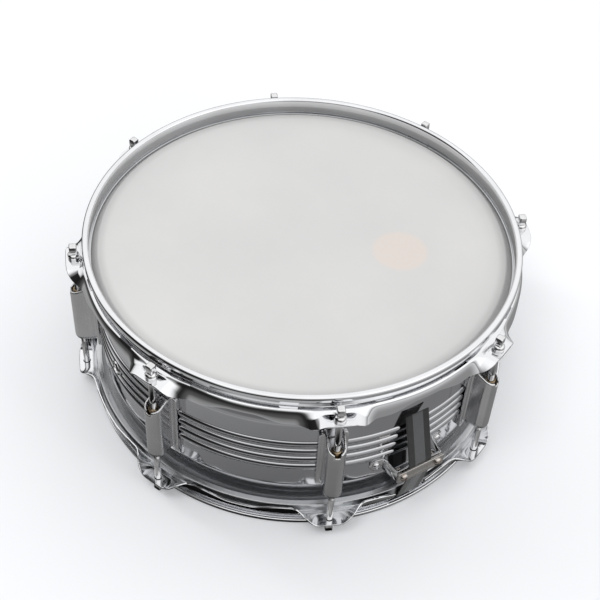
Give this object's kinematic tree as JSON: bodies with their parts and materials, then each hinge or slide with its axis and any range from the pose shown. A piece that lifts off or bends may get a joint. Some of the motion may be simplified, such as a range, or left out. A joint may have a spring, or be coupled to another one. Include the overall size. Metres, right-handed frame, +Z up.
{
  "type": "snare drum",
  "caption": "Shallow beaded-steel snare drum with flanged hoops, tube lugs, snare wires, strap butt plate and lever throw-off.",
  "frame": {"origin": "on the drum's axis, in the plane of the lower hoop's rim that the drum stands on", "axes": "+Z up along the drum's axis; +X towards the butt plate, -X towards the throw-off; -Y towards the vent hole"},
  "size_m": [0.4026, 0.38, 0.1645],
  "materials": {
    "shell_steel": "bright plated steel sheet",
    "hoop_chrome": "polished chrome on pressed steel",
    "coated_film": "white, finely sprayed",
    "clear_film": "clear, slightly hazy",
    "ring_metal": "plain",
    "lug_chrome": "satin chrome on cast metal",
    "rod_chrome": "polished",
    "nut_brass": "plain, slightly dark",
    "screw_steel": "plated",
    "fitting_chrome": "polished",
    "strap_fabric": "black woven tape with a grey centre stripe",
    "wire_steel": "bright wound wire",
    "end_plate_steel": "plated sheet",
    "grip_rubber": "matt black"
  },
  "bodies": {
    "drum": {"shell": "shell_steel", "vent_grommet": "screw_steel", "batter_hoop": "hoop_chrome", "snare_side_hoop": "hoop_chrome", "batter_head_film": "coated_film", "batter_head_ring": "ring_metal", "snare_head_film": "clear_film", "snare_head_ring": "ring_metal", "lug_casting_1": "lug_chrome", "lug_casting_2": "lug_chrome", "lug_casting_3": "lug_chrome", "lug_casting_4": "lug_chrome", "lug_casting_5": "lug_chrome", "lug_casting_6": "lug_chrome", "lug_casting_7": "lug_chrome", "lug_casting_8": "lug_chrome", "lug_swivel_nuts": "nut_brass", "lug_mounting_screws": "screw_steel", "lug_screw_washers": "screw_steel", "rod_washers": "rod_chrome", "butt_bracket": "fitting_chrome", "butt_clamp_plate": "fitting_chrome", "butt_clamp_screws": "screw_steel", "butt_mounting_screws": "screw_steel", "butt_strap": "strap_fabric", "throwoff_base": "fitting_chrome", "throwoff_pivot_pin": "screw_steel", "throwoff_mounting_screws": "screw_steel"},
    "tension_rod_batter_1": {"tension_rod_batter_1": "rod_chrome"},
    "tension_rod_snare_1": {"tension_rod_snare_1": "rod_chrome"},
    "tension_rod_batter_2": {"tension_rod_batter_2": "rod_chrome"},
    "tension_rod_snare_2": {"tension_rod_snare_2": "rod_chrome"},
    "tension_rod_batter_3": {"tension_rod_batter_3": "rod_chrome"},
    "tension_rod_snare_3": {"tension_rod_snare_3": "rod_chrome"},
    "tension_rod_batter_4": {"tension_rod_batter_4": "rod_chrome"},
    "tension_rod_snare_4": {"tension_rod_snare_4": "rod_chrome"},
    "tension_rod_batter_5": {"tension_rod_batter_5": "rod_chrome"},
    "tension_rod_snare_5": {"tension_rod_snare_5": "rod_chrome"},
    "tension_rod_batter_6": {"tension_rod_batter_6": "rod_chrome"},
    "tension_rod_snare_6": {"tension_rod_snare_6": "rod_chrome"},
    "tension_rod_batter_7": {"tension_rod_batter_7": "rod_chrome"},
    "tension_rod_snare_7": {"tension_rod_snare_7": "rod_chrome"},
    "tension_rod_batter_8": {"tension_rod_batter_8": "rod_chrome"},
    "tension_rod_snare_8": {"tension_rod_snare_8": "rod_chrome"},
    "lever": {"throwoff_lever": "fitting_chrome", "throwoff_lever_grip": "grip_rubber"},
    "carriage": {"throwoff_carriage": "fitting_chrome"},
    "knob": {"tension_knob": "fitting_chrome", "tension_spindle": "screw_steel"},
    "clamp_block": {"throwoff_clamp_block": "fitting_chrome", "throwoff_clamp_plate": "fitting_chrome", "throwoff_clamp_screws": "screw_steel", "throwoff_strap": "strap_fabric"},
    "snares": {"snare_wires": "wire_steel", "snare_end_plate_butt": "end_plate_steel", "snare_end_plate_throwoff": "end_plate_steel"}
  },
  "joints": [
    {"name": "batter_rod_1_turn", "type": "hinge", "parent": "drum", "child": "tension_rod_batter_1", "pos_m": [0.17877, 0.07405, 0.15], "axis": [0, 0, 1], "continuous": true},
    {"name": "snare_rod_1_turn", "type": "hinge", "parent": "drum", "child": "tension_rod_snare_1", "pos_m": [0.17877, 0.07405, 0.0145], "axis": [0, 0, 1], "continuous": true},
    {"name": "batter_rod_2_turn", "type": "hinge", "parent": "drum", "child": "tension_rod_batter_2", "pos_m": [0.07405, 0.17877, 0.15], "axis": [0, 0, 1], "continuous": true},
    {"name": "snare_rod_2_turn", "type": "hinge", "parent": "drum", "child": "tension_rod_snare_2", "pos_m": [0.07405, 0.17877, 0.0145], "axis": [0, 0, 1], "continuous": true},
    {"name": "batter_rod_3_turn", "type": "hinge", "parent": "drum", "child": "tension_rod_batter_3", "pos_m": [-0.07405, 0.17877, 0.15], "axis": [0, 0, 1], "continuous": true},
    {"name": "snare_rod_3_turn", "type": "hinge", "parent": "drum", "child": "tension_rod_snare_3", "pos_m": [-0.07405, 0.17877, 0.0145], "axis": [0, 0, 1], "continuous": true},
    {"name": "batter_rod_4_turn", "type": "hinge", "parent": "drum", "child": "tension_rod_batter_4", "pos_m": [-0.17877, 0.07405, 0.15], "axis": [0, 0, 1], "continuous": true},
    {"name": "snare_rod_4_turn", "type": "hinge", "parent": "drum", "child": "tension_rod_snare_4", "pos_m": [-0.17877, 0.07405, 0.0145], "axis": [0, 0, 1], "continuous": true},
    {"name": "batter_rod_5_turn", "type": "hinge", "parent": "drum", "child": "tension_rod_batter_5", "pos_m": [-0.17877, -0.07405, 0.15], "axis": [0, 0, 1], "continuous": true},
    {"name": "snare_rod_5_turn", "type": "hinge", "parent": "drum", "child": "tension_rod_snare_5", "pos_m": [-0.17877, -0.07405, 0.0145], "axis": [0, 0, 1], "continuous": true},
    {"name": "batter_rod_6_turn", "type": "hinge", "parent": "drum", "child": "tension_rod_batter_6", "pos_m": [-0.07405, -0.17877, 0.15], "axis": [0, 0, 1], "continuous": true},
    {"name": "snare_rod_6_turn", "type": "hinge", "parent": "drum", "child": "tension_rod_snare_6", "pos_m": [-0.07405, -0.17877, 0.0145], "axis": [0, 0, 1], "continuous": true},
    {"name": "batter_rod_7_turn", "type": "hinge", "parent": "drum", "child": "tension_rod_batter_7", "pos_m": [0.07405, -0.17877, 0.15], "axis": [0, 0, 1], "continuous": true},
    {"name": "snare_rod_7_turn", "type": "hinge", "parent": "drum", "child": "tension_rod_snare_7", "pos_m": [0.07405, -0.17877, 0.0145], "axis": [0, 0, 1], "continuous": true},
    {"name": "batter_rod_8_turn", "type": "hinge", "parent": "drum", "child": "tension_rod_batter_8", "pos_m": [0.17877, -0.07405, 0.15], "axis": [0, 0, 1], "continuous": true},
    {"name": "snare_rod_8_turn", "type": "hinge", "parent": "drum", "child": "tension_rod_snare_8", "pos_m": [0.17877, -0.07405, 0.0145], "axis": [0, 0, 1], "continuous": true},
    {"name": "lever_turn", "type": "hinge", "parent": "drum", "child": "lever", "pos_m": [-0.187, 0, 0.096], "axis": [0, -1, 0], "range_deg": [0, 85]},
    {"name": "carriage_slide", "type": "slide", "parent": "drum", "child": "carriage", "axis": [0, 0, -1], "range_m": [0, 0.004]},
    {"name": "knob_turn", "type": "hinge", "parent": "carriage", "child": "knob", "pos_m": [-0.188, 0, 0.116], "axis": [0, 0, 1], "range_deg": [0, 540]},
    {"name": "clamp_block_slide", "type": "slide", "parent": "carriage", "child": "clamp_block", "axis": [0, 0, -1], "range_m": [0, 0.0012]},
    {"name": "snares_tilt", "type": "hinge", "parent": "drum", "child": "snares", "pos_m": [0.16, 0, 0.011], "axis": [0, -1, 0], "range_deg": [0, 0.716]}
  ],
  "couplings": [
    {"joint": "carriage_slide", "follows": "lever_turn", "m_per_rad": 0.0026963},
    {"joint": "snares_tilt", "follows": "lever_turn", "ratio": 0.0084118},
    {"joint": "clamp_block_slide", "follows": "knob_turn", "m_per_rad": 0.00012732}
  ]
}
